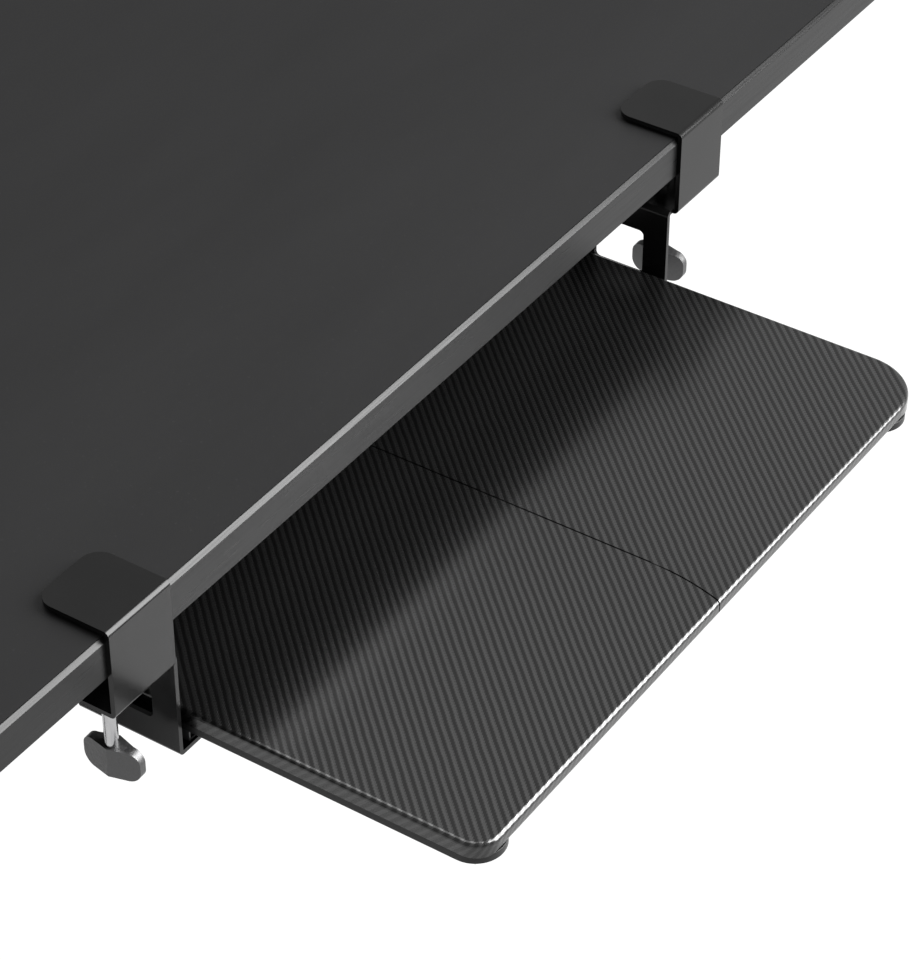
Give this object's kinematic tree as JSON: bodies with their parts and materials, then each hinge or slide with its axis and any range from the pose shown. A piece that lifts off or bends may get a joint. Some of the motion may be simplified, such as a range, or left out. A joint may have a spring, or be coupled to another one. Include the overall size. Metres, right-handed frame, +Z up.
{
  "type": "desk with keyboard tray",
  "caption": "Rectangular dark desk on two T-shaped steel legs, with a two-board pull-out keyboard tray hung from its front edge by screw clamps.",
  "frame": {"origin": "on the floor, midway between the tips of the pulled-out tray's bars and the back of the desk top, in the middle of the desk's length", "axes": "+X to the right along the desk as seen by its user, +Y from the user towards the back of the desk, +Z up"},
  "size_m": [1.4, 0.928, 0.751],
  "materials": {
    "desk_laminate": "matt black laminate on particle board, very faint grain along the desk",
    "desk_edge": "satin black plastic edging",
    "frame_steel": "fine textured black powder coat",
    "cap_plastic": "matt black moulded plastic",
    "dark_zinc": "dull zinc plate",
    "bracket_coat": "smooth black powder coat",
    "pad_rubber": "matt black rubber",
    "bright_zinc": "bright zinc plate",
    "knob_metal": "grey coated die-cast metal",
    "rail_steel": "dark coated slide steel, lightly greased",
    "ball_steel": "polished steel",
    "bar_coat": "dark grey satin powder coat",
    "tray_film": "fibre board faced with a black carbon-weave film"
  },
  "bodies": {
    "desk": {"desk_board": "desk_laminate", "desk_edging": "desk_edge", "column_left": "frame_steel", "column_right": "frame_steel", "foot_left": "frame_steel", "foot_right": "frame_steel", "foot_caps": "cap_plastic", "glides": "cap_plastic", "head_left": "frame_steel", "head_right": "frame_steel", "beam_front": "frame_steel", "beam_back": "frame_steel", "column_plates": "frame_steel", "frame_bolts": "dark_zinc", "top_screws": "dark_zinc", "bracket_left": "bracket_coat", "bracket_right": "bracket_coat", "clamp_pad_left": "pad_rubber", "clamp_pad_right": "pad_rubber", "clamp_nut_left": "bright_zinc", "clamp_nut_right": "bright_zinc", "outer_rail_left": "rail_steel", "outer_rail_right": "rail_steel", "rail_rivets": "dark_zinc"},
    "tray": {"board_left": "tray_film", "board_right": "tray_film", "bar_left": "bar_coat", "bar_right": "bar_coat", "inner_rail_left": "rail_steel", "inner_rail_right": "rail_steel", "joining_plates": "bar_coat", "cross_tie": "bar_coat", "joining_screws": "dark_zinc", "bar_screws": "dark_zinc"},
    "ball_cages": {"cage_left": "bright_zinc", "cage_right": "bright_zinc", "balls_left": "ball_steel", "balls_right": "ball_steel"},
    "left_swivel": {"swivel_left": "bright_zinc"},
    "right_swivel": {"swivel_right": "bright_zinc"},
    "left_screw": {"clamp_screw_left": "bright_zinc", "knob_left": "knob_metal"},
    "right_screw": {"clamp_screw_right": "bright_zinc", "knob_right": "knob_metal"}
  },
  "joints": [
    {"name": "tray_slide", "type": "slide", "parent": "desk", "child": "tray", "axis": [0, 1, 0], "range_m": [0, 0.215]},
    {"name": "cage_slide", "type": "slide", "parent": "desk", "child": "ball_cages", "axis": [0, 1, 0], "range_m": [0, 0.1076]},
    {"name": "swivel_travel_left", "type": "slide", "parent": "desk", "child": "left_swivel", "axis": [0, 0, -1], "range_m": [0, 0.01001]},
    {"name": "screw_turn_left", "type": "hinge", "parent": "left_swivel", "child": "left_screw", "pos_m": [-0.33775, -0.207, 0.65], "axis": [0, 0, -1], "range_deg": [0, 2880]},
    {"name": "swivel_travel_right", "type": "slide", "parent": "desk", "child": "right_swivel", "axis": [0, 0, -1], "range_m": [0, 0.01001]},
    {"name": "screw_turn_right", "type": "hinge", "parent": "right_swivel", "child": "right_screw", "pos_m": [0.33775, -0.207, 0.65], "axis": [0, 0, -1], "range_deg": [0, 2880]}
  ],
  "couplings": [
    {"joint": "cage_slide", "follows": "tray_slide", "ratio": 0.5},
    {"joint": "swivel_travel_left", "follows": "screw_turn_left", "m_per_rad": 0.00019894},
    {"joint": "swivel_travel_right", "follows": "screw_turn_right", "m_per_rad": 0.00019894}
  ]
}
